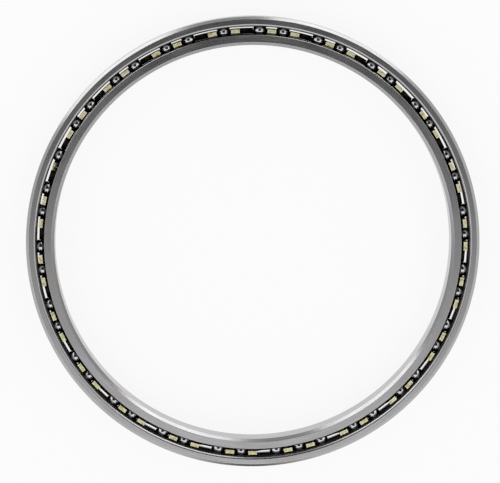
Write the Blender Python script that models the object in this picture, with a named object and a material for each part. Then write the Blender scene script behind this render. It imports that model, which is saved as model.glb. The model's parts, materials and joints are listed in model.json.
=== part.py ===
"""Thin section ball bearing of deep groove form, lying flat on one side face.

The origin is on the bearing's axis, at the lower side face, and +Z is the axis. Two ground steel
races carry a full-circle groove each. A brass cage between them is one L-shaped strip rolled
into a ring with its ends lapped: a foot that runs near the inner land, and webs that stand up
from it. Its pockets open upwards (+Z), in turn short snap-over pockets, which grip their ball
past its middle, and long ones, in which the ball floats. All lengths are in metres.
"""

import math

import bmesh
import bpy
from mathutils import Matrix, Vector

# Section of the bearing
BORE_DIAMETER = 0.0889
SECTION_HEIGHT = 0.00635
WIDTH = 0.00635
BALL_DIAMETER = 0.003175
LAND_GAP = 0.00178
CORNER_CHAMFER = 0.00064
INNER_LAND_EDGE_BREAK = 0.00012
OUTER_LAND_EDGE_BREAK = 0.00022

# Grooves: their radius is this share of the ball's diameter
GROOVE_CONFORMITY = 0.52
BALL_CLEARANCE = 0.00006

# Cage
CAGE_OUTER_CLEARANCE = 0.00045
WEB_THICKNESS = 0.00085
FOOT_GUIDE_CLEARANCE = 0.00013
FOOT_HEIGHT = 0.0009
CAGE_SIDE_RECESS = 0.00035
WEB_LENGTH = 0.00178
POCKET_CLEARANCE = 0.0001675
SNAP_GRIP = 0.0002
MOUTH_CLEARANCE = 0.000035
LEAST_LONG_POCKET = 0.006
LOOSE_BALL_CLEARANCE = 0.00006

# Lap at the cage's seam
SEAM_GAP = 0.00012
SEAM_LAP_LENGTH = 0.0011
SEAM_STEP_DEPTH = 0.00045

# Directions as clock angles: degrees clockwise from +Y, seen from above
SEAM_CLOCK_ANGLE = 291.6
LOOSE_BALLS_TOWARDS = 172.0

# Faceting
RACE_SEGMENTS = 88
GROOVE_SEGMENTS = 6
CAGE_SEGMENTS = 72
POCKET_ARC_SEGMENTS = 8
BALL_SUBDIVISION_COUNT = 2
CUTTER_MARGIN = 0.0005
SHARP_ANGLE = math.radians(25)

# Worked out from the sizes above
BORE_RADIUS = BORE_DIAMETER / 2
OUTSIDE_RADIUS = BORE_RADIUS + SECTION_HEIGHT
PITCH_RADIUS = (BORE_RADIUS + OUTSIDE_RADIUS) / 2
INNER_LAND_RADIUS = PITCH_RADIUS - LAND_GAP / 2
OUTER_LAND_RADIUS = PITCH_RADIUS + LAND_GAP / 2
MIDDLE_HEIGHT = WIDTH / 2
BALL_RADIUS = BALL_DIAMETER / 2
GROOVE_RADIUS = GROOVE_CONFORMITY * BALL_DIAMETER
GROOVE_CENTRE_OFFSET = GROOVE_RADIUS - BALL_RADIUS - BALL_CLEARANCE
POCKET_RADIUS = BALL_RADIUS + POCKET_CLEARANCE
CAGE_OUTER_RADIUS = OUTER_LAND_RADIUS - CAGE_OUTER_CLEARANCE
WEB_INNER_RADIUS = CAGE_OUTER_RADIUS - WEB_THICKNESS
WEB_MIDDLE_RADIUS = CAGE_OUTER_RADIUS - WEB_THICKNESS / 2
FOOT_INNER_RADIUS = INNER_LAND_RADIUS + FOOT_GUIDE_CLEARANCE
CAGE_BACK = CAGE_SIDE_RECESS
FOOT_TOP = CAGE_BACK + FOOT_HEIGHT
CAGE_FRONT = WIDTH - CAGE_SIDE_RECESS

PITCH_LENGTH = math.tau * PITCH_RADIUS
SHORT_STEP_LENGTH = 2 * POCKET_RADIUS + WEB_LENGTH
LEAST_LONG_STEP_LENGTH = LEAST_LONG_POCKET + WEB_LENGTH
SHORT_POCKETS = int((PITCH_LENGTH - LEAST_LONG_STEP_LENGTH)
                    // (SHORT_STEP_LENGTH + LEAST_LONG_STEP_LENGTH))
LONG_POCKETS = SHORT_POCKETS + 1
LONG_STEP_LENGTH = (PITCH_LENGTH - SHORT_POCKETS * SHORT_STEP_LENGTH) / LONG_POCKETS
LONG_POCKET = LONG_STEP_LENGTH - WEB_LENGTH


def clear_scene():
    for obj in list(bpy.data.objects):
        bpy.data.objects.remove(obj, do_unlink=True)


def metal(name, colour, roughness):
    material = bpy.data.materials.new(name)
    material.use_nodes = True
    shader = material.node_tree.nodes["Principled BSDF"]
    shader.inputs["Base Color"].default_value = (*colour, 1.0)
    shader.inputs["Metallic"].default_value = 1.0
    shader.inputs["Roughness"].default_value = roughness
    material.diffuse_color = (*colour, 1.0)
    return material


def add_object(name, mesh, material, parent=None):
    mesh.materials.append(material)
    obj = bpy.data.objects.new(name, mesh)
    bpy.context.scene.collection.objects.link(obj)
    obj.parent = parent
    return obj


def shade(mesh):
    mesh.shade_smooth()
    mesh.set_sharp_from_angle(angle=SHARP_ANGLE)


def turned_ring(name, profile, segments):
    """A closed profile of (radius, height) points, spun once round the bearing's axis."""
    bm = bmesh.new()
    ring = [bm.verts.new((radius, 0.0, height)) for radius, height in profile]
    edges = [bm.edges.new((ring[i - 1], ring[i])) for i in range(len(ring))]
    bmesh.ops.spin(bm, geom=ring + edges, cent=(0, 0, 0), axis=(0, 0, 1), angle=math.tau,
                   steps=segments, use_merge=True)
    bmesh.ops.recalc_face_normals(bm, faces=bm.faces)
    mesh = bpy.data.meshes.new(name)
    bm.to_mesh(mesh)
    bm.free()
    return mesh


def race_profile(land, back, edge_break, outwards):
    """Section of a race: its groove side at radius land, its fitting side at radius back.

    outwards is +1 for the outer race, whose groove is cut outwards from the land, and -1 for
    the inner race. The groove is one arc about a centre near the pitch circle.
    """
    groove_centre = PITCH_RADIUS - outwards * GROOVE_CENTRE_OFFSET
    half_angle = math.acos(outwards * (land - groove_centre) / GROOVE_RADIUS)
    profile = [(land + outwards * edge_break, 0.0), (land, edge_break)]
    for step in range(GROOVE_SEGMENTS + 1):
        angle = half_angle * (2 * step / GROOVE_SEGMENTS - 1)
        profile.append((groove_centre + outwards * GROOVE_RADIUS * math.cos(angle),
                        MIDDLE_HEIGHT + GROOVE_RADIUS * math.sin(angle)))
    profile += [
        (land, WIDTH - edge_break),
        (land + outwards * edge_break, WIDTH),
        (back - outwards * CORNER_CHAMFER, WIDTH),
        (back, WIDTH - CORNER_CHAMFER),
        (back, CORNER_CHAMFER),
        (back - outwards * CORNER_CHAMFER, 0.0),
    ]
    return profile


def make_outer_race(material):
    profile = race_profile(OUTER_LAND_RADIUS, OUTSIDE_RADIUS, OUTER_LAND_EDGE_BREAK, +1)
    mesh = turned_ring("outer_race", profile, RACE_SEGMENTS)
    shade(mesh)
    return add_object("outer_race", mesh, material)


def make_inner_race(material):
    profile = race_profile(INNER_LAND_RADIUS, BORE_RADIUS, INNER_LAND_EDGE_BREAK, -1)
    mesh = turned_ring("inner_race", profile, RACE_SEGMENTS)
    shade(mesh)
    return add_object("inner_race", mesh, material)


def clock_turn(clock_angle):
    """Matrix that carries a shape drawn about +Y to this clock angle."""
    return Matrix.Rotation(-math.radians(clock_angle), 4, "Z")


def pockets():
    """Yields (is_short, clock angle of the pocket's middle), clockwise from the lapped web."""
    angle = SEAM_CLOCK_ANGLE
    for index in range(SHORT_POCKETS + LONG_POCKETS):
        is_short = index % 2 == 1
        step = math.degrees((SHORT_STEP_LENGTH if is_short else LONG_STEP_LENGTH) / PITCH_RADIUS)
        yield is_short, angle + step / 2
        angle += step


def short_pocket_outline():
    """Snap-over pocket in its own (along, height) plane: a circle past the ball's middle, drawn
    in to a throat narrower than the ball, then flared open to the cage's front."""
    half_throat = (BALL_DIAMETER - SNAP_GRIP) / 2
    throat_angle = math.asin(half_throat / POCKET_RADIUS)
    half_mouth = BALL_RADIUS + MOUTH_CLEARANCE
    top = CAGE_FRONT + CUTTER_MARGIN
    outline = [(half_mouth, top), (-half_mouth, top)]
    for step in range(POCKET_ARC_SEGMENTS + 1):
        share = step / POCKET_ARC_SEGMENTS
        angle = throat_angle + share * (math.tau - 2 * throat_angle)
        outline.append((-POCKET_RADIUS * math.sin(angle),
                        MIDDLE_HEIGHT + POCKET_RADIUS * math.cos(angle)))
    return outline


def long_pocket_outline():
    """Open slot with round lower corners, in its own (along, height) plane."""
    half = LONG_POCKET / 2
    corner = half - POCKET_RADIUS
    top = CAGE_FRONT + CUTTER_MARGIN
    outline = [(half, top), (-half, top)]
    steps = POCKET_ARC_SEGMENTS // 2
    for side in (-1, 1):
        for step in range(steps + 1):
            share = step / steps if side < 0 else 1 - step / steps
            angle = share * math.pi / 2
            outline.append((side * (corner + POCKET_RADIUS * math.cos(angle)),
                            MIDDLE_HEIGHT - POCKET_RADIUS * math.sin(angle)))
    return outline


def add_radial_prism(bm, outline, clock_angle):
    """Adds an (along, height) outline to bm, pushed through the cage's wall at a clock angle."""
    turn = clock_turn(clock_angle)
    inner = WEB_INNER_RADIUS - CUTTER_MARGIN
    outer = CAGE_OUTER_RADIUS + CUTTER_MARGIN
    face = bm.faces.new([bm.verts.new(turn @ Vector((along, inner, height)))
                         for along, height in outline])
    pushed = bmesh.ops.extrude_face_region(bm, geom=[face])["geom"]
    moved = [item for item in pushed if isinstance(item, bmesh.types.BMVert)]
    bmesh.ops.translate(bm, verts=moved, vec=turn @ Vector((0.0, outer - inner, 0.0)))


def add_upright_prism(bm, outline, clock_angle, low, high):
    """Adds an (along, radius) outline to bm, standing from one height to another."""
    turn = clock_turn(clock_angle)
    face = bm.faces.new([bm.verts.new(turn @ Vector((along, radius, low)))
                         for along, radius in outline])
    raised = bmesh.ops.extrude_face_region(bm, geom=[face])["geom"]
    moved = [item for item in raised if isinstance(item, bmesh.types.BMVert)]
    bmesh.ops.translate(bm, verts=moved, vec=(0.0, 0.0, high - low))


def cut(target, bm):
    """Cuts the shapes in bm out of target, and leaves target with the finished mesh."""
    bmesh.ops.recalc_face_normals(bm, faces=bm.faces)
    mesh = bpy.data.meshes.new("cutter")
    bm.to_mesh(mesh)
    bm.free()
    cutter = bpy.data.objects.new("cutter", mesh)
    bpy.context.scene.collection.objects.link(cutter)
    boolean = target.modifiers.new("cut", "BOOLEAN")
    boolean.operation = "DIFFERENCE"
    boolean.object = cutter
    graph = bpy.context.evaluated_depsgraph_get()
    finished = bpy.data.meshes.new_from_object(target.evaluated_get(graph))
    target.modifiers.remove(boolean)
    target.data = finished
    bpy.data.objects.remove(cutter, do_unlink=True)


def pocket_cutters():
    bm = bmesh.new()
    for is_short, clock_angle in pockets():
        outline = short_pocket_outline() if is_short else long_pocket_outline()
        add_radial_prism(bm, outline, clock_angle)
    return bm


def seam_slit():
    """Z-shaped slit that parts the strip's ends: through the outer half of the wall at the
    clockwise end of the lap, along the middle of the wall, and through the inner half."""
    half_lap = SEAM_LAP_LENGTH / 2
    half_gap = SEAM_GAP / 2
    inside = FOOT_INNER_RADIUS - CUTTER_MARGIN
    outside = CAGE_OUTER_RADIUS + CUTTER_MARGIN
    outline = [
        (-half_lap - half_gap, inside), (-half_lap + half_gap, inside),
        (-half_lap + half_gap, WEB_MIDDLE_RADIUS - half_gap),
        (half_lap + half_gap, WEB_MIDDLE_RADIUS - half_gap),
        (half_lap + half_gap, outside), (half_lap - half_gap, outside),
        (half_lap - half_gap, WEB_MIDDLE_RADIUS + half_gap),
        (-half_lap - half_gap, WEB_MIDDLE_RADIUS + half_gap),
    ]
    bm = bmesh.new()
    add_upright_prism(bm, outline, SEAM_CLOCK_ANGLE, CAGE_BACK - CUTTER_MARGIN,
                      CAGE_FRONT + CUTTER_MARGIN)
    return bm


def seam_step():
    """Notch that sets the tongue on the lap's inner half below the front of the webs."""
    start = -SEAM_LAP_LENGTH / 2
    end = WEB_LENGTH
    inside = WEB_INNER_RADIUS - CUTTER_MARGIN
    outline = [(start, inside), (end, inside),
               (end, WEB_MIDDLE_RADIUS), (start, WEB_MIDDLE_RADIUS)]
    bm = bmesh.new()
    add_upright_prism(bm, outline, SEAM_CLOCK_ANGLE, CAGE_FRONT - SEAM_STEP_DEPTH,
                      CAGE_FRONT + CUTTER_MARGIN)
    return bm


def make_cage(material):
    profile = [
        (FOOT_INNER_RADIUS, CAGE_BACK),
        (FOOT_INNER_RADIUS, FOOT_TOP),
        (WEB_INNER_RADIUS, FOOT_TOP),
        (WEB_INNER_RADIUS, CAGE_FRONT),
        (CAGE_OUTER_RADIUS, CAGE_FRONT),
        (CAGE_OUTER_RADIUS, CAGE_BACK),
    ]
    cage = add_object("cage", turned_ring("cage", profile, CAGE_SEGMENTS), material)
    cut(cage, pocket_cutters())
    cut(cage, seam_slit())
    cut(cage, seam_step())
    cage.data.name = "cage"
    shade(cage.data)
    return cage


def ball_mesh():
    bm = bmesh.new()
    bmesh.ops.create_icosphere(bm, subdivisions=BALL_SUBDIVISION_COUNT, radius=BALL_RADIUS)
    mesh = bpy.data.meshes.new("ball")
    bm.to_mesh(mesh)
    bm.free()
    mesh.shade_smooth()
    return mesh


def ball_clock_angles():
    """Where each ball lies: held in the middle of a short pocket, or floated to the end of its
    long pocket that is nearer to the direction in which the loose balls have gathered."""
    slide = LONG_POCKET / 2 - BALL_RADIUS - LOOSE_BALL_CLEARANCE
    for is_short, middle in pockets():
        if is_short:
            yield middle
        else:
            away = (LOOSE_BALLS_TOWARDS - middle + 180.0) % 360.0 - 180.0
            yield middle + math.copysign(math.degrees(slide / PITCH_RADIUS), away)


def make_balls(material, cage):
    """One object for each ball, all on one mesh, each with its origin at its own centre."""
    mesh = ball_mesh()
    mesh.materials.append(material)
    for number, clock_angle in enumerate(ball_clock_angles(), start=1):
        ball = bpy.data.objects.new(f"ball_{number:02d}", mesh)
        bpy.context.scene.collection.objects.link(ball)
        ball.parent = cage
        ball.location = clock_turn(clock_angle) @ Vector((0.0, PITCH_RADIUS, MIDDLE_HEIGHT))


def main():
    clear_scene()
    race_steel = metal("ground_bearing_steel", (0.36, 0.36, 0.37), 0.32)
    ball_steel = metal("polished_ball_steel", (0.56, 0.56, 0.57), 0.06)
    cage_brass = metal("rolled_brass", (0.66, 0.55, 0.30), 0.38)
    make_outer_race(race_steel)
    make_inner_race(race_steel)
    cage = make_cage(cage_brass)
    make_balls(ball_steel, cage)


main()
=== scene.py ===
"""Looks of a thin section ball bearing: two ground steel races, a lapped brass cage with open
pockets, forty-five polished balls, and the plain studio that they lie in. Lengths are in metres.

Words used below: r is the distance from the bearing's axis, and a clock angle runs clockwise
from +Y, seen from above, so a point at clock angle t is (r sin t, r cos t).
"""

import json
import math
from functools import partial

import bmesh
import bpy
import numpy as np
from bpy.props import FloatProperty, FloatVectorProperty, IntProperty, PointerProperty
from mathutils import Matrix, Vector


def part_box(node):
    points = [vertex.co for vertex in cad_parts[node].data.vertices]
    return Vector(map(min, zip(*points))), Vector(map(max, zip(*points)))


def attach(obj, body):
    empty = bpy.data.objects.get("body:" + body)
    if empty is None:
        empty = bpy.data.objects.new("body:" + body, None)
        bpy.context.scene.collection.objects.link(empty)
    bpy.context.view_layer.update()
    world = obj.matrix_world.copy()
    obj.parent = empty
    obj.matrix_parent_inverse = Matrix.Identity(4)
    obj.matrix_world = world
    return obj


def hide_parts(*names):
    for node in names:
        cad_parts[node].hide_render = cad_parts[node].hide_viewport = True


bl_info = {
    "name": "Thin Section Bearing",
    "version": (1, 0, 0),
    "blender": (4, 5, 0),
    "location": "3D View > Sidebar > Bearing",
    "description": "Builds the races, cage and balls of a thin section bearing, and its studio",
    "category": "Object",
}

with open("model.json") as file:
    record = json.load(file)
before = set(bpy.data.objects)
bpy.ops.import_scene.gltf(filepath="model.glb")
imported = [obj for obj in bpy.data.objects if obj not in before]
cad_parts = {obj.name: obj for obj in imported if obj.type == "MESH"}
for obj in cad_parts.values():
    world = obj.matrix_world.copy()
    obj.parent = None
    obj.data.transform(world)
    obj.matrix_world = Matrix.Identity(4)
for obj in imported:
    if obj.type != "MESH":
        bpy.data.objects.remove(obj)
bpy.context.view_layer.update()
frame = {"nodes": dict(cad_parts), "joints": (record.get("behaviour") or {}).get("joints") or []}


def linear(hex_colour):
    """sRGB hex colour, such as #C8C9CC, as the linear values that a shader takes."""
    values = np.array([int(hex_colour[i:i + 2], 16) for i in (1, 3, 5)]) / 255
    return tuple(np.where(values <= 0.04045, values / 12.92, ((values + 0.055) / 1.055) ** 2.4))


def radii_of(node):
    """Least and greatest distance of a CAD node's corners from the bearing's axis."""
    mesh = frame["nodes"][node].data
    points = np.empty(len(mesh.vertices) * 3)
    mesh.vertices.foreach_get("co", points)
    reach = np.hypot(points[0::3], points[1::3])
    return float(reach.min()), float(reach.max())


BORE_RADIUS, INNER_LAND_RADIUS = radii_of("inner_race")
OUTER_LAND_RADIUS, OUTSIDE_RADIUS = radii_of("outer_race")
PITCH_RADIUS = (BORE_RADIUS + OUTSIDE_RADIUS) / 2
CAGE_OUTER_RADIUS = radii_of("cage")[1]
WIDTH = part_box("outer_race")[1].z
CAGE_BACK, CAGE_FRONT = (corner.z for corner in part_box("cage"))
BALL_CENTRES = {joint["child"]: joint["pos_m"] for joint in frame["joints"]
                if joint["child"].startswith("ball_")}
GROOVE_LIP = 0.00138  # how far from the middle of their width the races' grooves end
SUPPORT = 0.00003  # how far outside an arc one more point keeps the flat beside it flat


def length(name, description, default):
    return FloatProperty(name=name, description=description, default=default, min=0.0,
                         subtype="DISTANCE", unit="LENGTH", precision=5)


def colour(name, description, hex_colour):
    return FloatVectorProperty(name=name, description=description, subtype="COLOR", size=3,
                               min=0.0, max=1.0, default=linear(hex_colour))


class RaceSettings(bpy.types.PropertyGroup):
    """Sizes and finish of the two races."""

    corner_chamfer: length("Corner chamfer", "Chamfer at the bore and outside corners", 0.00064)
    inner_edge_break: length("Inner edge break", "Small chamfer at the inner race's land", 0.00012)
    outer_edge_break: length("Outer edge break", "Small chamfer at the outer race's land", 0.00042)
    groove_radius: length("Groove radius", "Radius of the ball groove's section", 0.001651)
    ball_clearance: length("Ball clearance", "Room between ball and groove bottom", 0.00006)
    edge_round: length("Edge round", "Radius left on the edges by tumbling", 0.00007)
    lip_round: length("Lip round", "Radius of the outer race's land corner", 0.00062)
    segments: IntProperty(name="Segments", description="Faces round a race", default=640, min=48)
    steel: colour("Ground steel", "Reflection colour of the ground chromium steel", "#B2B2B4")


class CageSettings(bpy.types.PropertyGroup):
    """Sizes and finish of the cage, which is one strip with lapped ends."""

    web_thickness: length("Web thickness", "Thickness of the strip between pockets", 0.00085)
    web_length: length("Web length", "Length of a web along the pitch circle", 0.00178)
    foot_height: length("Foot height", "Height of the foot that the webs stand on", 0.0009)
    foot_clearance: length("Foot clearance", "Room between foot and inner land", 0.00005)
    pocket_clearance: length("Pocket clearance", "Room between ball and pocket", 0.0001675)
    snap_grip: length("Snap grip", "How much narrower than the ball a throat is", 0.0002)
    mouth_clearance: length("Mouth clearance", "Room beside the ball at a mouth", 0.000035)
    least_long_pocket: length("Least long pocket", "Least length of a long pocket", 0.006)
    edge_round: length("Edge round", "Radius left on the strip's edges by tumbling", 0.00006)
    seam_gap: length("Seam gap", "Slit between the lapped ends", 0.00012)
    seam_lap: length("Seam lap", "Length over which the ends lap", 0.0011)
    seam_step: length("Seam step", "How far the inner end is set below the webs", 0.00045)
    seam_clock_angle: FloatProperty(name="Seam clock angle", description="Where the ends lap",
                                    default=math.radians(291.6), subtype="ANGLE", unit="ROTATION")
    brass: colour("Rolled brass", "Reflection colour of the clean brass", "#ECE6BC")
    # Colour of the painted shade down in the pockets
    pocket_shade: colour("Painted pocket shade", "Reflection colour of the brass down in the pockets", "#2B2416")


class BallSettings(bpy.types.PropertyGroup):
    """Size and finish of the balls."""

    diameter: length("Diameter", "Diameter of a ball", 0.003175)
    steel: colour("Lapped steel", "Reflection colour of the lapped ball steel", "#C8C9CC")


class StudioSettings(bpy.types.PropertyGroup):
    """Camera, lamps and floor."""

    distance: length("Camera distance", "From the bearing's middle to the camera", 0.5818)
    azimuth: FloatProperty(name="Camera azimuth", description="Turn of the view about +Y",
                           default=math.radians(-1.52), subtype="ANGLE", unit="ROTATION")
    tilt: FloatProperty(name="Camera tilt", description="Lean of the view from the axis to +Y",
                        default=math.radians(7.32), subtype="ANGLE", unit="ROTATION")
    lens: FloatProperty(name="Lens", description="Focal length in millimetres", default=186.26,
                        min=10.0)
    lamp_level: FloatProperty(name="Lamp level", description="Power of each soft box in watts",
                              default=0.8, min=0.0)
    sky_level: FloatProperty(name="Studio level", description="Strength of the studio's light",
                             default=1.0, min=0.0)
    floor: colour("Floor", "Colour of the plain floor", "#F4F4F4")


# Shapes

def grid_faces(rows, columns, close_rows=False, close_columns=False):
    """Quads of a grid of points numbered row by row, each as four point numbers."""
    i = np.arange(rows if close_rows else rows - 1)[:, None]
    j = np.arange(columns if close_columns else columns - 1)[None, :]
    below, right = (i + 1) % rows, (j + 1) % columns
    corners = [i * columns + j, below * columns + j, below * columns + right, i * columns + right]
    return np.stack(np.broadcast_arrays(*corners), axis=-1).reshape(-1, 4)


def mesh_from(name, parts, weld=0.0):
    """One closed mesh from parts, each (points, faces). Points nearer than weld are joined. The
    enclosed volume is a third of the sum of each face's area times its plane's distance from
    the origin; where it comes out negative, every face is turned round."""
    offsets = np.cumsum([0] + [len(points) for points, _ in parts])
    points = np.concatenate([points for points, _ in parts])
    faces = np.concatenate([faces + start for (_, faces), start in zip(parts, offsets)])
    mesh = bpy.data.meshes.new(name)
    mesh.from_pydata(points.tolist(), [], faces.tolist())
    bm = bmesh.new()
    bm.from_mesh(mesh)
    if weld:
        bmesh.ops.remove_doubles(bm, verts=bm.verts, dist=weld)
        bmesh.ops.recalc_face_normals(bm, faces=bm.faces)
    if bm.calc_volume(signed=True) < 0:
        bmesh.ops.reverse_faces(bm, faces=bm.faces)
    bm.to_mesh(mesh)
    bm.free()
    mesh.shade_smooth()
    return mesh


def add_piece(name, mesh, material, body, slot, *nodes):
    """Puts a finished mesh into the scene on its CAD body, in place of the CAD nodes."""
    mesh.materials.clear()
    mesh.materials.append(material)
    piece = bpy.data.objects.new(name, mesh)
    bpy.context.scene.collection.objects.link(piece)
    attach(piece, body)
    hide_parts(*nodes)


def add_stage(name, points, faces, material):
    """Puts a flat thing of the studio, which is no part of the bearing, into the scene."""
    mesh = bpy.data.meshes.new(name)
    mesh.from_pydata(points.tolist(), [], faces)
    mesh.materials.append(material)
    thing = bpy.data.objects.new(name, mesh)
    bpy.context.scene.collection.objects.link(thing)
    return thing


def rounded_corner(before, corner, after, radius, steps, support=SUPPORT):
    """Arc that touches both sides of a corner. With h half the corner's angle, it starts
    radius / tan(h) from the corner, and its centre is radius / sin(h) away on the bisector. One
    more point just outside each end keeps the flat sides flat when they are shaded smooth."""
    before, corner, after = map(np.array, (before, corner, after))
    to_before = (before - corner) / np.linalg.norm(before - corner)
    to_after = (after - corner) / np.linalg.norm(after - corner)
    half = math.acos(np.clip(to_before @ to_after, -1, 1)) / 2
    bisector = (to_before + to_after) / np.linalg.norm(to_before + to_after)
    centre = corner + bisector * radius / math.sin(half)
    tangent = radius / math.tan(half)
    start = corner + to_before * tangent - centre
    end = corner + to_after * tangent - centre
    turn = math.pi - 2 * half
    share = np.linspace(0, 1, steps + 1)[:, None]
    arc = centre + (np.sin((1 - share) * turn) * start + np.sin(share * turn) * end
                    ) / math.sin(turn)
    return np.concatenate([[corner + to_before * (tangent + support)], arc,
                           [corner + to_after * (tangent + support)]])


def race_section(land, back, edge, outwards, sizes):
    """Section of a race as (r, height) points: side faces, rounded chamfers, lands and groove.

    outwards is +1 for the outer race and -1 for the inner. The groove is an arc whose centre is
    near the pitch circle; its two tangents at the land meet in one corner, so the same rounding
    rule draws it."""
    middle = WIDTH / 2
    ball_radius = bpy.context.scene.ball_settings.diameter / 2
    groove = sizes.groove_radius
    centre = PITCH_RADIUS - outwards * (groove - ball_radius - sizes.ball_clearance)
    half_angle = math.acos(outwards * (land - centre) / groove)
    chamfer, fine = sizes.corner_chamfer, sizes.edge_round
    # The outer race's land corner is worn round, more so on the land than on the side face
    land_round, face_round = fine, fine
    if outwards > 0:
        land_round, face_round = sizes.lip_round, sizes.lip_round * 0.65
    brow = fine * 0.6
    lip = groove * math.sin(half_angle)
    reach = groove / math.cos(half_angle)
    short = brow * math.tan(half_angle / 2) / math.tan(half_angle)
    corners = [
        ((land + outwards * edge, 0.0), face_round, 6),
        ((land, edge), land_round, 6),
        ((land, middle - lip), brow, 3),
        ((centre + outwards * reach, middle), groove - short, 28),
        ((land, middle + lip), brow, 3),
        ((land, WIDTH - edge), land_round, 6),
        ((land + outwards * edge, WIDTH), face_round, 6),
        ((back - outwards * chamfer, WIDTH), fine, 4),
        ((back, WIDTH - chamfer), fine, 4),
        ((back, chamfer), fine, 4),
        ((back - outwards * chamfer, 0.0), fine, 4),
    ]
    arcs = []
    for index, (corner, radius, steps) in enumerate(corners):
        before = corners[index - 1][0]
        after = corners[(index + 1) % len(corners)][0]
        in_groove = index in (2, 3, 4)
        arc = rounded_corner(before, corner, after, radius, steps, 0.0 if in_groove else SUPPORT)
        arcs.append(arc[1:-1] if in_groove else arc)
    return np.concatenate(arcs)


def turned_ring(section, segments):
    """A section of (r, height) points carried once round the axis: at angle t, a point is
    (r cos t, r sin t, height)."""
    angle = np.linspace(0, math.tau, segments, endpoint=False)[:, None]
    r, height = section[:, 0][None, :], section[:, 1][None, :]
    points = np.stack(np.broadcast_arrays(r * np.cos(angle), r * np.sin(angle), height), axis=-1)
    return points.reshape(-1, 3), grid_faces(segments, len(section), True, True)


def ball_surface(centre, radius, around=48, down=24):
    """A sphere: at polar angle a and turn t, a point is the centre plus radius times
    (sin a cos t, sin a sin t, cos a). Its poles are closed by joining the doubled points."""
    polar = np.linspace(0, math.pi, down + 1)[:, None]
    turn = np.linspace(0, math.tau, around, endpoint=False)[None, :]
    points = np.stack(np.broadcast_arrays(np.sin(polar) * np.cos(turn),
                                          np.sin(polar) * np.sin(turn), np.cos(polar)), axis=-1)
    return np.array(centre) + radius * points.reshape(-1, 3), grid_faces(down + 1, around,
                                                                         False, True)


def half_cell(sizes, is_short, pocket_length):
    """One half of a web with the half pocket beside it, laid flat.

    Returns (rim, root): two rows of (along, height) points. Along is measured from the web's
    middle. The rim runs over the web's top, down the pocket's wall and along its bottom. Each
    root point lies straight behind its rim point, seen from the pocket's round: on the web's
    middle line, and then on the top of the foot."""
    ball_radius = bpy.context.scene.ball_settings.diameter / 2
    radius = ball_radius + sizes.pocket_clearance
    middle = WIDTH / 2
    foot = CAGE_BACK + sizes.foot_height
    axis = sizes.web_length / 2 + radius
    if is_short:
        half_throat = ball_radius - sizes.snap_grip / 2
        throat_angle = math.asin(half_throat / radius)
        throat = (axis - half_throat, middle + radius * math.cos(throat_angle))
        mouth = axis - ball_radius - sizes.mouth_clearance
        flare = np.linspace((mouth, CAGE_FRONT), throat, 6)[1:]
        upper_angle = np.linspace(throat_angle, math.pi / 2, 6)[1:]
        upper_wall = np.stack([axis - radius * np.sin(upper_angle),
                               middle + radius * np.cos(upper_angle)], axis=-1)
    else:
        mouth = sizes.web_length / 2
        straight = np.linspace((mouth, CAGE_FRONT), (mouth, middle), 11)
        flare, upper_wall = straight[1:6], straight[6:]
    top = np.linspace((0.0, CAGE_FRONT), (mouth, CAGE_FRONT), 7)
    corner_angle = math.pi - math.atan(axis / (middle - foot))
    lower = np.concatenate([np.linspace(math.pi / 2, corner_angle, 6)[1:],
                            np.linspace(corner_angle, math.pi, 10)[1:]])
    wall = np.stack([axis - radius * np.sin(lower), middle + radius * np.cos(lower)], axis=-1)
    rim = np.concatenate([top, flare, upper_wall, wall])
    above = len(top) + len(flare) + len(upper_wall)
    # The roots start 0.6 mm below the web's end, which leaves room for the rounded edge
    upper_root = np.stack([np.zeros(above),
                           np.linspace(CAGE_FRONT - 0.0006, middle, above)], axis=-1)
    beside = lower <= corner_angle + 1e-9
    cot = np.cos(lower) / np.sin(lower)
    down = np.stack([np.zeros(len(lower)), middle + axis * cot], axis=-1)
    under = np.stack([axis - (middle - foot) * np.tan(math.pi - lower),
                      np.full(len(lower), foot)], axis=-1)
    lower_root = np.where(beside[:, None], down, under)
    root = np.concatenate([upper_root, lower_root])
    if not is_short:
        along = np.linspace(axis, (sizes.web_length + pocket_length) / 2, 6)[1:]
        rim = np.concatenate([rim, np.stack([along, np.full(5, middle - radius)], axis=-1)])
        root = np.concatenate([root, np.stack([along, np.full(5, foot)], axis=-1)])
    return rim, root


def wall_section(sizes, steps=3):
    """Section across the strip's wall at its rim, as (depth behind the rim, r) points from the
    outer face to the inner one. A depth of 1 or more stands for a share of the way to the root.
    The two edges are quarter circles."""
    e = sizes.edge_round
    outer, inner = CAGE_OUTER_RADIUS, CAGE_OUTER_RADIUS - sizes.web_thickness
    angle = np.linspace(0, math.pi / 2, steps + 1)
    round_out = np.stack([e * (1 - np.sin(angle)), outer - e * (1 - np.cos(angle))], axis=-1)
    round_in = np.stack([round_out[::-1, 0], inner + (outer - round_out[::-1, 1])], axis=-1)
    behind_out = np.array([[2.0, outer], [1.5, outer], [e * 1.5, outer]])
    behind_in = behind_out[::-1] * (1, 0) + (0, inner)
    across = np.array([[0.0, outer - 1.5 * e], [0.0, (outer + inner) / 2],
                       [0.0, inner + 1.5 * e]])
    return np.concatenate([behind_out, round_out, across, round_in, behind_in])


def foot_section(sizes):
    """Section of the strip's foot as (r, height) points, from the wall's outer face round below
    to its inner face."""
    e = sizes.edge_round
    foot = CAGE_BACK + sizes.foot_height
    outer, inner = CAGE_OUTER_RADIUS, CAGE_OUTER_RADIUS - sizes.web_thickness
    foot_inner = INNER_LAND_RADIUS + sizes.foot_clearance
    corners = [(outer, foot), (outer, CAGE_BACK), (foot_inner, CAGE_BACK), (foot_inner, foot),
               (inner, foot)]
    arcs = [rounded_corner(corners[i - 1], corners[i], corners[i + 1], e, 3) for i in (1, 2, 3)]
    return np.concatenate([corners[:1], *arcs, corners[-1:]])


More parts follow.
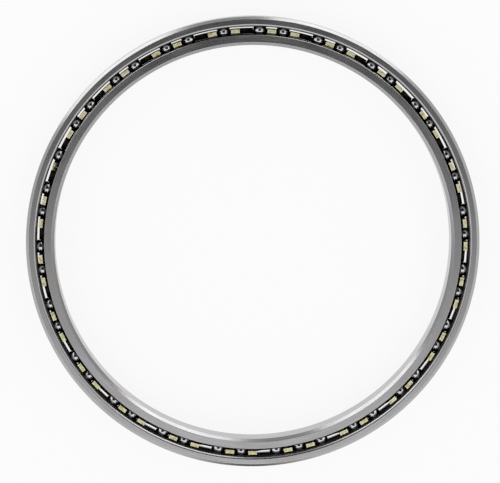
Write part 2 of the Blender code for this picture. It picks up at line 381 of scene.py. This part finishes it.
def pocket_layout(sizes):
    """Clock angles of the webs' middles, and whether the pocket clockwise of each is short.

    The short pockets are as many as leave each long one at least its least length, with one
    more long pocket than short ones, so that two long ones meet at the lapped web."""
    way_round = math.tau * PITCH_RADIUS
    pocket = bpy.context.scene.ball_settings.diameter + 2 * sizes.pocket_clearance
    short_step = pocket + sizes.web_length
    least = sizes.least_long_pocket + sizes.web_length
    short_count = int((way_round - least) // (short_step + least))
    long_step = (way_round - short_count * short_step) / (short_count + 1)
    is_short = np.arange(2 * short_count + 1) % 2 == 1
    steps = np.where(is_short, short_step, long_step) / PITCH_RADIUS
    webs = sizes.seam_clock_angle + np.concatenate([[0.0], np.cumsum(steps)[:-1]])
    return webs, is_short, long_step - sizes.web_length


def cage_parts(sizes):
    """Every half cell of the cage, carried round: with R the pitch radius, a point at distance s
    along and radius r is at clock angle web + s / R, or web - s / R on the web's other side."""
    webs, is_short, long_pocket = pocket_layout(sizes)
    across, foot = wall_section(sizes), foot_section(sizes)
    for short in (True, False):
        rim, root = half_cell(sizes, short, long_pocket)
        reach = np.linalg.norm(root - rim, axis=1)
        depth = across[:, 0]
        share = np.where(depth[None, :] >= 1, depth[None, :] - 1,
                         depth[None, :] / reach[:, None])
        along = rim[:, :1] + share * (root - rim)[:, :1]
        height = rim[:, 1:] + share * (root - rim)[:, 1:]
        on_foot = np.isclose(root[:, 1], CAGE_BACK + sizes.foot_height)
        foot_along = root[on_foot, :1]
        starts = [(webs[is_short == short], 1.0), (np.roll(webs, -1)[is_short == short], -1.0)]
        for middles, side in starts:
            for distance, r, level in ((along, across[:, 1], height),
                                       (foot_along, foot[:, 0], foot[:, 1])):
                angle = middles[:, None, None] + side * distance[None] / PITCH_RADIUS
                points = np.stack(np.broadcast_arrays(r * np.sin(angle), r * np.cos(angle),
                                                      level), axis=-1)
                yield strip_faces(points)


def strip_faces(points):
    """Points and quads of many equal grids at once. points is (grid, row, column, xyz)."""
    grids, rows, columns = points.shape[:3]
    one = grid_faces(rows, columns)
    starts = np.arange(grids)[:, None, None] * rows * columns
    return points.reshape(-1, 3), (one[None] + starts).reshape(-1, 4)


def prism(outline, low, high, clock_angle):
    """An (along, r) outline standing from one height to another, at a clock angle t: a point is
    (along cos t + r sin t, r cos t - along sin t, height)."""
    along, r = np.array(outline).T
    turn = math.cos(clock_angle), math.sin(clock_angle)
    x = along * turn[0] + r * turn[1]
    y = r * turn[0] - along * turn[1]
    count = len(outline)
    points = np.concatenate([np.stack([x, y, np.full(count, h)], axis=-1) for h in (low, high)])
    mesh = bpy.data.meshes.new("cutter")
    ends = [list(range(count)), list(range(count, 2 * count))]
    sides = grid_faces(2, count, close_columns=True).tolist()
    mesh.from_pydata(points.tolist(), [], ends + sides)
    bm = bmesh.new()
    bm.from_mesh(mesh)
    bmesh.ops.recalc_face_normals(bm, faces=bm.faces)
    bm.to_mesh(mesh)
    bm.free()
    return mesh


def cut_away(mesh, cutters):
    """Takes the cutters' shapes out of a mesh and returns the finished mesh."""
    target = bpy.data.objects.new("target", mesh)
    bpy.context.scene.collection.objects.link(target)
    tools = [bpy.data.objects.new("tool", cutter) for cutter in cutters]
    for tool in tools:
        bpy.context.scene.collection.objects.link(tool)
        boolean = target.modifiers.new("cut", "BOOLEAN")
        boolean.operation = "DIFFERENCE"
        boolean.object = tool
    graph = bpy.context.evaluated_depsgraph_get()
    finished = bpy.data.meshes.new_from_object(target.evaluated_get(graph))
    for used in [target, *tools]:
        bpy.data.objects.remove(used, do_unlink=True)
    return finished


def seam_cutters(sizes):
    """The Z-shaped slit between the strip's lapped ends, and the notch over the inner end."""
    outer = CAGE_OUTER_RADIUS + 0.0003
    inner = INNER_LAND_RADIUS - 0.0003
    middle = CAGE_OUTER_RADIUS - sizes.web_thickness / 2
    lap, gap = sizes.seam_lap / 2, sizes.seam_gap / 2
    slit = [(-lap - gap, inner), (-lap + gap, inner), (-lap + gap, middle - gap),
            (lap + gap, middle - gap), (lap + gap, outer), (lap - gap, outer),
            (lap - gap, middle + gap), (-lap - gap, middle + gap)]
    web_inner = CAGE_OUTER_RADIUS - sizes.web_thickness - 0.0003
    notch = [(-lap, web_inner), (sizes.web_length, web_inner), (sizes.web_length, middle),
             (-lap, middle)]
    return [prism(slit, CAGE_BACK - 0.001, CAGE_FRONT + 0.001, sizes.seam_clock_angle),
            prism(notch, CAGE_FRONT - sizes.seam_step, CAGE_FRONT + 0.001,
                  sizes.seam_clock_angle)]


def paint_webs(mesh, sizes):
    """Three attributes of the cage: web_tint, one seeded value from 0 to 1 for each web;
    lap_shade, which is 1 on the inner end at the lap, which lies below the webs and takes a
    painted shade there; and edge_wear, which rises from 0 to 1 over the quarter of a web's length
    at each end."""
    points = np.empty(len(mesh.vertices) * 3)
    mesh.vertices.foreach_get("co", points)
    x, y, z = points.reshape(-1, 3).T
    clock = np.arctan2(x, y)
    webs, _, _ = pocket_layout(sizes)
    away = (clock[:, None] - webs[None, :] + math.pi) % math.tau - math.pi
    nearest = np.abs(away).argmin(axis=1)
    tints = np.random.default_rng(7).random(len(webs))
    tint = mesh.attributes.new("web_tint", "FLOAT", "POINT")
    tint.data.foreach_set("value", tints[nearest].astype(np.float32))
    middle = CAGE_OUTER_RADIUS - sizes.web_thickness / 2
    # Marks the lap's inner end, below the webs, for a painted shade
    in_lap_recess = (nearest == 0) & (np.hypot(x, y) < middle + 1e-5) & (
        z > CAGE_FRONT - sizes.seam_step - 0.0008)
    lap_shade_mask = mesh.attributes.new("lap_shade", "FLOAT", "POINT")
    lap_shade_mask.data.foreach_set("value", in_lap_recess.astype(np.float32))
    along = np.abs(away).min(axis=1) * PITCH_RADIUS / (sizes.web_length / 2)
    wear = mesh.attributes.new("edge_wear", "FLOAT", "POINT")
    wear.data.foreach_set("value", np.clip(2 * along - 1, 0, 1).astype(np.float32))


# Materials

def add_node(tree, kind, inputs=(), output=0, **settings):
    """Adds one node with its settings, and gives one of its outputs. Inputs come in order, or by
    name or number in a dictionary. A value that is another node's output is linked."""
    node = tree.nodes.new(f"ShaderNode{kind}")
    for name, value in settings.items():
        setattr(node, name, value)
    for name, value in inputs.items() if isinstance(inputs, dict) else enumerate(inputs):
        if isinstance(value, bpy.types.NodeSocket):
            tree.links.new(value, node.inputs[name])
        else:
            node.inputs[name].default_value = value
    return node.outputs[output]


def new_material(name):
    """A new material, its way to add a node, and the inputs of its surface."""
    material = bpy.data.materials.new(name)
    material.use_nodes = True
    tree = material.node_tree
    return material, partial(add_node, tree), tree.nodes["Principled BSDF"].inputs


def connect(surface, links, **values):
    """Links outputs to a surface's inputs, and sets its plain values."""
    for name, output in links.items():
        output.id_data.links.new(output, surface[name])
    for name, value in values.items():
        surface[name].default_value = value


def turning_lay(add, line_spacing, arc_lines):
    """Fine lines left by turning or grinding round the axis: noise over (x/r, y/r) stretched
    along the turn, and over r and height at the lines' own spacing."""
    place = add("TexCoord", output="Object")
    x, y, z = add("SeparateXYZ", [place]).node.outputs
    squares = [add("Math", [axis, axis], operation="MULTIPLY") for axis in (x, y)]
    r = add("Math", [add("Math", squares, operation="ADD")], operation="SQRT")
    along = [add("Math", [add("Math", [axis, r], operation="DIVIDE"), arc_lines],
                 operation="MULTIPLY") for axis in (x, y)]
    over_r, over_height = [add("Math", [value, line_spacing], operation="DIVIDE")
                           for value in (r, z)]
    lay = add("TexNoise", {"Vector": add("CombineXYZ", [*along, over_r]), "W": over_height,
                           "Scale": 1.0, "Detail": 2.0, "Roughness": 0.6},
              noise_dimensions="4D")
    return place, r, z, lay


def ground_steel(settings):
    """Through-hardened chromium bearing steel, ground on its faces and superfinished in the
    groove. The ground skin is satin with a circular lay, and the groove is close to a mirror."""
    material, add, surface = new_material("ground_chromium_steel")
    # Grinding lines are about 0.02 mm apart; drawn at 0.18 mm so that they show at this size
    place, r, z, lay = turning_lay(add, 0.00018, 9.0)
    # Cloudy film of rust-preventive oil, in patches of about 9 mm
    film = add("TexNoise", {"Vector": place, "Scale": 110.0, "Detail": 3.0})
    steel = np.array(settings.steel)
    clean, warm = (*steel, 1.0), (*(steel * (1.0, 0.965, 0.91)), 1.0)
    dark = (*(steel * 0.86), 1.0)
    cloud = add("MapRange", [film, 0.42, 0.66, 0.0, 0.8], interpolation_type="SMOOTHSTEP")
    base = add("Mix", {0: cloud, 6: clean, 7: warm}, 2, data_type="RGBA")
    lines = add("MapRange", [lay, 0.35, 0.7, 0.0, 0.55], interpolation_type="SMOOTHSTEP")
    base = add("Mix", {0: lines, 6: base, 7: dark}, 2, data_type="RGBA")

    # Where a point lies: its height from the middle, its distance from the pitch circle, and
    # whether it is on the lands or in the groove, between the two breaks of their edges
    inner_side, outer_side = PITCH_RADIUS - 0.0004, PITCH_RADIUS + 0.0004
    half_land = WIDTH / 2 - settings.outer_edge_break
    rise = add("Math", [z, WIDTH / 2], operation="SUBTRACT")
    off_middle = add("Math", [rise], operation="ABSOLUTE")
    reach = add("Math", [r, PITCH_RADIUS], operation="SUBTRACT")
    off_pitch = add("Math", [reach], operation="ABSOLUTE")
    within = add("MapRange", [off_pitch, 0.00175, 0.00185, 1.0, 0.0],
                 interpolation_type="SMOOTHSTEP")
    inside = add("Math", [within, add(
        "MapRange", [off_middle, half_land - 0.00004, half_land, 1.0, 0.0],
        interpolation_type="SMOOTHSTEP")], operation="MULTIPLY")

    # Painted shade: a thin brown-black darkening in both grooves, and on the inner race's lands,
    # where the cage's foot runs
    groove_shade_height = add("MapRange", [r, inner_side, outer_side,
                                  WIDTH / 2 - settings.inner_edge_break - 0.00002, GROOVE_LIP],
                     interpolation_type="SMOOTHSTEP")
    below_lip = add("Math", [groove_shade_height, off_middle], operation="SUBTRACT")
    groove_shade = add("Math", [within, add("MapRange", [below_lip, 0.0, 0.00004, 0.0, 1.0],
                                     interpolation_type="SMOOTHSTEP")], operation="MULTIPLY")
    groove_shade = add("Math", [groove_shade, 0.85], operation="MULTIPLY")
    base = add("Mix", {0: groove_shade, 6: base, 7: (*linear("#3B3833"), 1.0)}, 2, data_type="RGBA")

    # Painted shade: a dark specular tint keeps the walls beside the cage dark where they are seen
    # at a flat angle; only the outer race's back land is left without it
    shade_start_height = add("MapRange", [r, inner_side, outer_side, 0.0, WIDTH / 2],
                       interpolation_type="SMOOTHSTEP")
    above_shade_start = add("Math", [z, shade_start_height], operation="SUBTRACT")
    wall_shade_mask = add("Math", [inside, add("MapRange", [above_shade_start, -0.0001, 0.0001, 0.0, 1.0],
                                      interpolation_type="SMOOTHSTEP")], operation="MULTIPLY")
    wall_shade_tint = add("Mix", {0: wall_shade_mask, 6: (1.0, 1.0, 1.0, 1.0), 7: (0.06, 0.055, 0.05, 1.0)}, 2,
                data_type="RGBA")

    # Satin where it is ground, dull on the rubbed lands and nearly a mirror in the groove
    satin = add("Math", [add("MapRange", [lay, 0.3, 0.7, 0.17, 0.24]),
                         add("MapRange", [film, 0.35, 0.7, 0.0, 0.03],
                             interpolation_type="SMOOTHSTEP")], operation="ADD")
    rubbed = add("MapRange", [off_middle, GROOVE_LIP - 0.00002, GROOVE_LIP + 0.00004, 0.08, 0.4],
                 interpolation_type="SMOOTHSTEP")
    roughness = add("Mix", {0: inside, 2: satin, 3: rubbed}, data_type="FLOAT")
    bump = add("Bump", {"Strength": 0.35, "Distance": 0.000004, "Height": lay})
    # The specular tint carries the painted shade of the walls beside the cage
    connect(surface, {"Base Color": base, "Specular Tint": wall_shade_tint, "Roughness": roughness,
                      "Normal": bump}, Metallic=1.0)
    return material


def lapped_steel(settings):
    """Chromium steel balls, lapped to a mirror. Only faint cloudiness of oil shows in it."""
    material, add, surface = new_material("lapped_ball_steel")
    place = add("TexCoord", output="Object")
    # Oil film in patches of about 1 mm, and lapping scratches drawn 0.1 mm wide
    film = add("TexNoise", {"Vector": place, "Scale": 900.0, "Detail": 2.0})
    scratch = add("TexNoise", {"Vector": place, "Scale": 9000.0, "Detail": 1.0})
    steel = np.array(settings.steel)
    cloud = add("MapRange", [film, 0.4, 0.7, 0.0, 1.0], interpolation_type="SMOOTHSTEP")
    base = add("Mix", {0: cloud, 6: (*steel, 1.0), 7: (*(steel * (0.93, 0.93, 0.95)), 1.0)}, 2,
               data_type="RGBA")
    roughness = add("Math", [
        add("MapRange", [film, 0.4, 0.7, 0.03, 0.07], interpolation_type="SMOOTHSTEP"),
        add("MapRange", [scratch, 0.5, 0.8, 0.0, 0.03], interpolation_type="SMOOTHSTEP"),
    ], operation="ADD")
    connect(surface, {"Base Color": base, "Roughness": roughness}, Metallic=1.0)
    return material


def rolled_brass(settings):
    """Rolled brass strip, pierced and tumbled: pale yellow and satin at the webs' ends, with a
    painted shade that makes it nearly black down in the pockets, with each web a little different,
    and the inner end of the lap rougher and given a painted shade, as it lies below the webs."""
    material, add, surface = new_material("rolled_brass")
    # Rolling lines run along the strip; drawn 0.15 mm apart
    place, r, z, lay = turning_lay(add, 0.00015, 14.0)
    # Tumbled grain of about 0.4 mm
    grain = add("TexNoise", {"Vector": place, "Scale": 2500.0, "Detail": 2.0})
    tint, lap_shade_mask, wear = [add("Attribute", output="Fac", attribute_name=name)
                         for name in ("web_tint", "lap_shade", "edge_wear")]
    brass = np.array(settings.brass)
    pale, peach = (*brass, 1.0), (*(brass * (1.0, 0.94, 1.0)), 1.0)
    olive, worn = (*(brass * (0.88, 0.87, 0.68)), 1.0), (*(brass * (0.72, 0.7, 0.5)), 1.0)
    dull, rubbed = (*(brass * (0.62, 0.58, 0.42)), 1.0), (*linear("#F1EFD8"), 1.0)
    ruddy = add("MapRange", [tint, 0.55, 0.9, 0.0, 1.0], interpolation_type="SMOOTHSTEP")
    base = add("Mix", {0: ruddy, 6: pale, 7: peach}, 2, data_type="RGBA")
    greenish = add("MapRange", [tint, 0.25, 0.0, 0.0, 1.0], interpolation_type="SMOOTHSTEP")
    base = add("Mix", {0: greenish, 6: base, 7: olive}, 2, data_type="RGBA")

    # Mottling of the tumbled skin, in spots of about 0.6 mm, and edges rubbed pale
    spots = add("TexNoise", {"Vector": place, "Scale": 1500.0, "Detail": 3.0})
    pits = add("MapRange", [spots, 0.5, 0.4, 0.0, 1.0], interpolation_type="SMOOTHSTEP")
    base = add("Mix", {0: pits, 6: base, 7: dull}, 2, data_type="RGBA")
    crowns = add("MapRange", [spots, 0.5, 0.6, 0.0, 0.9], interpolation_type="SMOOTHSTEP")
    base = add("Mix", {0: crowns, 6: base, 7: rubbed}, 2, data_type="RGBA")
    edge = add("Math", [wear, add("MapRange", [grain, 0.3, 0.6, 0.3, 0.9],
                                  interpolation_type="SMOOTHSTEP")], operation="MULTIPLY")
    base = add("Mix", {0: edge, 6: base, 7: rubbed}, 2, data_type="RGBA")

    # Darker burnished line along the middle of the webs' ends
    middle = CAGE_OUTER_RADIUS - bpy.context.scene.cage_settings.web_thickness / 2
    across = add("Math", [r, middle], operation="SUBTRACT")
    across = add("Math", [across], operation="ABSOLUTE")
    line = add("Math", [
        add("MapRange", [across, 0.00005, 0.00018, 0.5, 0.0], interpolation_type="SMOOTHSTEP"),
        add("MapRange", [grain, 0.3, 0.6, 0.3, 1.0], interpolation_type="SMOOTHSTEP"),
    ], operation="MULTIPLY")
    base = add("Mix", {0: line, 6: base, 7: worn}, 2, data_type="RGBA")
    lines = add("MapRange", [lay, 0.4, 0.75, 0.0, 0.35], interpolation_type="SMOOTHSTEP")
    base = add("Mix", {0: lines, 6: base, 7: worn}, 2, data_type="RGBA")

    # Painted shade, nearly black, from 0.1 mm below the webs' ends down into the pockets, and
    # painted shade on the lap's inner end, which lies below the webs
    depth = add("MapRange", [z, CAGE_FRONT - 0.0001, CAGE_FRONT - 0.0008, 0.0, 0.97],
                interpolation_type="SMOOTHSTEP")
    base = add("Mix", {0: depth, 6: base, 7: (*settings.pocket_shade, 1.0)}, 2, data_type="RGBA")
    # Painted shade on the lap's inner end, which lies below the webs
    lap_shade_share = add("Math", [lap_shade_mask, 0.9], operation="MULTIPLY")
    base = add("Mix", {0: lap_shade_share, 6: base, 7: (*linear("#5F5A44"), 1.0)}, 2, data_type="RGBA")
    roughness = add("Math", [
        add("MapRange", [grain, 0.3, 0.7, 0.4, 0.56], interpolation_type="SMOOTHSTEP"),
        add("Math", [lap_shade_mask, 0.1], operation="MULTIPLY"),
    ], operation="ADD")
    bump = add("Bump", {"Strength": 0.5, "Distance": 0.000008, "Height": grain})
    connect(surface, {"Base Color": base, "Roughness": roughness, "Normal": bump}, Metallic=1.0)
    return material


def seamless_paper(settings):
    """Matt white paper sweep, burnt out in the picture: part of it always shows as plain white
    to the camera and in reflections, and the rest takes the object's soft shadow."""
    material, add, surface = new_material("white_paper")
    place = add("TexCoord", output="Object")
    # Paper tooth, about 0.5 mm
    tooth = add("TexNoise", {"Vector": place, "Scale": 1800.0, "Detail": 2.0})
    floor = np.array(settings.floor)
    base = add("Mix", {0: tooth, 6: (*floor, 1.0), 7: (*(floor * 0.98), 1.0)}, 2,
               data_type="RGBA")
    connect(surface, {"Base Color": base}, Roughness=0.9)
    rays = add("LightPath").node.outputs
    seen = add("Math", [rays["Is Glossy Ray"], rays["Is Transmission Ray"]], operation="MAXIMUM")
    seen = add("Math", [rays["Is Camera Ray"], seen], operation="MAXIMUM")
    white_share = add("Math", [seen, 0.87], operation="MULTIPLY")
    white = add("Emission", {"Color": (1.0, 1.0, 1.0, 1.0), "Strength": 1.0})
    nodes = material.node_tree.nodes
    both = add("MixShader", [white_share, nodes["Principled BSDF"].outputs[0], white])
    connect(nodes["Material Output"].inputs, {"Surface": both})
    return material


def shadow_reflection_card():
    """Matt black flocked card that gives a painted reflection of a contact shadow, thinning out
    towards its ends so that it leaves no hard edge.
    """
    material, add, surface = new_material("shadow_reflection_card")
    place = add("TexCoord", output="Object")
    x = add("SeparateXYZ", [place], "X")
    # Flock, about 0.3 mm
    flock = add("TexNoise", {"Vector": place, "Scale": 3000.0})
    base = add("Mix", {0: flock, 6: (0.01, 0.01, 0.01, 1.0), 7: (0.03, 0.03, 0.03, 1.0)}, 2,
               data_type="RGBA")
    aside = add("Math", [x], operation="ABSOLUTE")
    cover = add("MapRange", [aside, 0.001, 0.029, 1.0, 0.0], interpolation_type="SMOOTHSTEP")
    connect(surface, {"Base Color": base, "Alpha": cover}, Roughness=0.9)
    return material


# Steps that build the bearing and its studio

class BEARING_OT_races(bpy.types.Operator):
    """Make the two ground races with their rounded chamfers and grooves."""

    bl_idname = "bearing.races"
    bl_label = "Races"

    def execute(self, context):
        sizes = context.scene.race_settings
        steel = ground_steel(sizes)
        for name, land, back, edge, outwards in (
                ("outer_race", OUTER_LAND_RADIUS, OUTSIDE_RADIUS, sizes.outer_edge_break, 1),
                ("inner_race", INNER_LAND_RADIUS, BORE_RADIUS, sizes.inner_edge_break, -1)):
            section = race_section(land, back, edge, outwards, sizes)
            mesh = mesh_from(f"{name}_ring", [turned_ring(section, sizes.segments)])
            add_piece(f"{name}_ring", mesh, steel, name, "race_steel", name)
        return {"FINISHED"}


class BEARING_OT_cage(bpy.types.Operator):
    """Make the brass cage with its open pockets and lapped ends."""

    bl_idname = "bearing.cage"
    bl_label = "Cage"

    def execute(self, context):
        sizes = context.scene.cage_settings
        mesh = mesh_from("cage_strip", list(cage_parts(sizes)), weld=0.000002)
        mesh = cut_away(mesh, seam_cutters(sizes))
        mesh.name = "cage_strip"
        mesh.shade_smooth()
        mesh.set_sharp_from_angle(angle=math.radians(40))
        paint_webs(mesh, sizes)
        add_piece("cage_strip", mesh, rolled_brass(sizes), "cage", "cage_brass", "cage")
        return {"FINISHED"}


class BEARING_OT_balls(bpy.types.Operator):
    """Make the polished balls, each where its joint is."""

    bl_idname = "bearing.balls"
    bl_label = "Balls"

    def execute(self, context):
        settings = context.scene.ball_settings
        steel = lapped_steel(settings)
        for node, centre in BALL_CENTRES.items():
            mesh = mesh_from(f"{node}_lapped", [ball_surface(centre, settings.diameter / 2)],
                             weld=0.0000005)
            add_piece(f"{node}_lapped", mesh, steel, node, "ball_steel", node)
        return {"FINISHED"}


class BEARING_OT_studio(bpy.types.Operator):
    """Make the floor, lamps, studio light and camera."""

    bl_idname = "bearing.studio"
    bl_label = "Studio"

    def execute(self, context):
        settings = context.scene.studio_settings
        scene = context.scene
        middle = Vector((0.0, 0.0, WIDTH / 2))
        towards = Vector((math.sin(settings.azimuth) * math.cos(settings.tilt),
                          math.sin(settings.tilt),
                          math.cos(settings.azimuth) * math.cos(settings.tilt)))
        up = (Vector((0, 1, 0)) - towards * towards.y).normalized()
        right = up.cross(towards)

        # The bearing sits a little off the photograph's middle, which the shift gives
        camera = bpy.data.cameras.new("camera")
        camera.lens = settings.lens
        camera.sensor_width = 36.0
        camera.shift_x, camera.shift_y = -0.00588, 0.00174
        camera.clip_start = 0.01
        camera_object = bpy.data.objects.new("camera", camera)
        turn = Matrix((right, up, towards)).transposed()
        camera_object.matrix_world = (Matrix.Translation(middle + towards * settings.distance)
                                      @ turn.to_4x4())
        scene.collection.objects.link(camera_object)
        scene.camera = camera_object

        # Round floor of 20 m radius, a hair below the bearing's lower face
        angle = np.linspace(0, math.tau, 64, endpoint=False)
        points = np.stack([20 * np.cos(angle), 20 * np.sin(angle), np.full(64, -0.00002)], -1)
        add_stage("paper_floor", points, [list(range(64))], seamless_paper(settings))

        # Black card beside the lower rim, seen only as a reflection in the chamfer, where it
        # paints the reflection of a contact shadow. Its near edge is a parabola and its far edge
        # straight
        reach = np.linspace(-0.03, 0.03, 9)
        near, far = -0.064 - 0.012 * (reach / 0.03) ** 2, np.full(9, -0.1)
        points = np.concatenate([np.stack([reach, edge, np.full(9, 0.0003)], -1)
                                 for edge in (near, far)])
        card = add_stage("shadow_reflection_card", points, grid_faces(2, 9).tolist(), shadow_reflection_card())
        card.visible_camera = card.visible_diffuse = card.visible_shadow = False

        # Soft boxes 0.8 m out at two clock angles, 0.1 m up and aimed at the bearing
        for name, clock in (("soft_box_right", 26.5), ("soft_box_left", -41.0)):
            lamp = bpy.data.lights.new(name, "AREA")
            lamp.shape = "RECTANGLE"
            lamp.size, lamp.size_y = 0.58, 0.2
            lamp.energy = settings.lamp_level
            lamp_object = bpy.data.objects.new(name, lamp)
            out = Vector((math.sin(math.radians(clock)), math.cos(math.radians(clock)), 0.0))
            lamp_object.location = out * 0.8 + Vector((0.0, 0.0, 0.1))
            lamp_object.rotation_mode = "QUATERNION"
            lamp_object.rotation_quaternion = (-lamp_object.location).to_track_quat("-Z", "Y")
            lamp_object.visible_camera = False
            scene.collection.objects.link(lamp_object)

        self.studio_light(scene, settings)
        scene.view_settings.view_transform = "Standard"
        return {"FINISHED"}

    def studio_light(self, scene, settings):
        """White room lit all round, with a dark opening round the lens, and a dark strip of
        ceiling between the two soft boxes."""
        world = bpy.data.worlds.new("studio")
        scene.world = world
        world.use_nodes = True
        add = partial(add_node, world.node_tree)
        way = add("TexCoord", output="Object")
        x, y, z = add("SeparateXYZ", [way]).node.outputs

        # Dark opening round the lens, by how far a way leans to +Y and turns aside. Its lower
        # edge is the front edge of the white table, 8.5 degrees below the horizontal of the
        # upright photograph
        above = add("Math", [z, 0.05], operation="MAXIMUM")
        lean = add("Math", [y, above], operation="DIVIDE")
        turn = add("Math", [x, above], operation="DIVIDE")
        aside = add("Math", [add("Math", [turn, 0.02], operation="ADD")], operation="ABSOLUTE")
        opening = 1.0
        for limits in ((lean, -0.165, -0.135, 0.0, 1.0), (lean, 0.8, 1.1, 1.0, 0.0),
                       (aside, 0.4, 0.54, 1.0, 0.0), (z, 0.2, 0.4, 0.0, 1.0)):
            edge = add("MapRange", limits, interpolation_type="SMOOTHSTEP")
            opening = add("Math", [opening, edge], operation="MULTIPLY")
        dark = add("Math", [opening, 0.97], operation="MULTIPLY")
        lens = add("Math", [1.0, dark], operation="SUBTRACT")

        # Dark strip that runs up between the soft boxes at this clock angle
        clock = math.radians(-9.0)
        ahead = add("VectorMath", [way, (math.sin(clock), math.cos(clock), 0.0)], "Value",
                    operation="DOT_PRODUCT")
        beside = add("VectorMath", [way, (math.cos(clock), -math.sin(clock), 0.0)], "Value",
                     operation="DOT_PRODUCT")
        beside = add("Math", [beside], operation="ABSOLUTE")
        strip = 1.0
        for limits in ((ahead, 0.3, 0.45, 0.0, 1.0), (beside, 0.16, 0.26, 1.0, 0.0),
                       (z, 0.15, 0.45, 0.1, 0.9)):
            edge = add("MapRange", limits, interpolation_type="SMOOTHSTEP")
            strip = add("Math", [strip, edge], operation="MULTIPLY")
        strip = add("Math", [1.0, strip], operation="SUBTRACT")

        # The room is lighter above than at the horizon, and light all the way down towards -Y
        height = add("MapRange", [z, 0.05, 0.5, 0.38, 1.15], interpolation_type="SMOOTHSTEP")
        front = add("MapRange", [y, 0.1, -0.6, 0.0, 1.0], interpolation_type="SMOOTHSTEP")
        level = add("Mix", {0: front, 2: height, 3: 1.15}, data_type="FLOAT")
        for share in (lens, strip, settings.sky_level):
            level = add("Math", [level, share], operation="MULTIPLY")
        connect(world.node_tree.nodes["Background"].inputs, {"Strength": level},
                Color=(1.0, 1.0, 1.0, 1.0))


class BEARING_PT_panel(bpy.types.Panel):
    """Lists the steps that build the bearing."""

    bl_label = "Thin Section Bearing"
    bl_idname = "BEARING_PT_panel"
    bl_space_type = "VIEW_3D"
    bl_region_type = "UI"
    bl_category = "Bearing"

    def draw(self, context):
        for settings, operator in (("race_settings", "bearing.races"),
                                   ("cage_settings", "bearing.cage"),
                                   ("ball_settings", "bearing.balls"),
                                   ("studio_settings", "bearing.studio")):
            box = self.layout.box()
            group = getattr(context.scene, settings)
            for name in group.__annotations__:
                box.prop(group, name)
            box.operator(operator)


SETTINGS = {"race_settings": RaceSettings, "cage_settings": CageSettings,
            "ball_settings": BallSettings, "studio_settings": StudioSettings}
CLASSES = (*SETTINGS.values(), BEARING_OT_races, BEARING_OT_cage, BEARING_OT_balls,
           BEARING_OT_studio, BEARING_PT_panel)


def register():
    for cls in CLASSES:
        bpy.utils.register_class(cls)
    for name, group in SETTINGS.items():
        setattr(bpy.types.Scene, name, PointerProperty(type=group))


def unregister():
    for name in SETTINGS:
        delattr(bpy.types.Scene, name)
    for cls in reversed(CLASSES):
        bpy.utils.unregister_class(cls)


def main():
    register()
    bpy.ops.bearing.studio()
    bpy.ops.bearing.races()
    bpy.ops.bearing.cage()
    bpy.ops.bearing.balls()


if __name__ == "__main__":
    main()
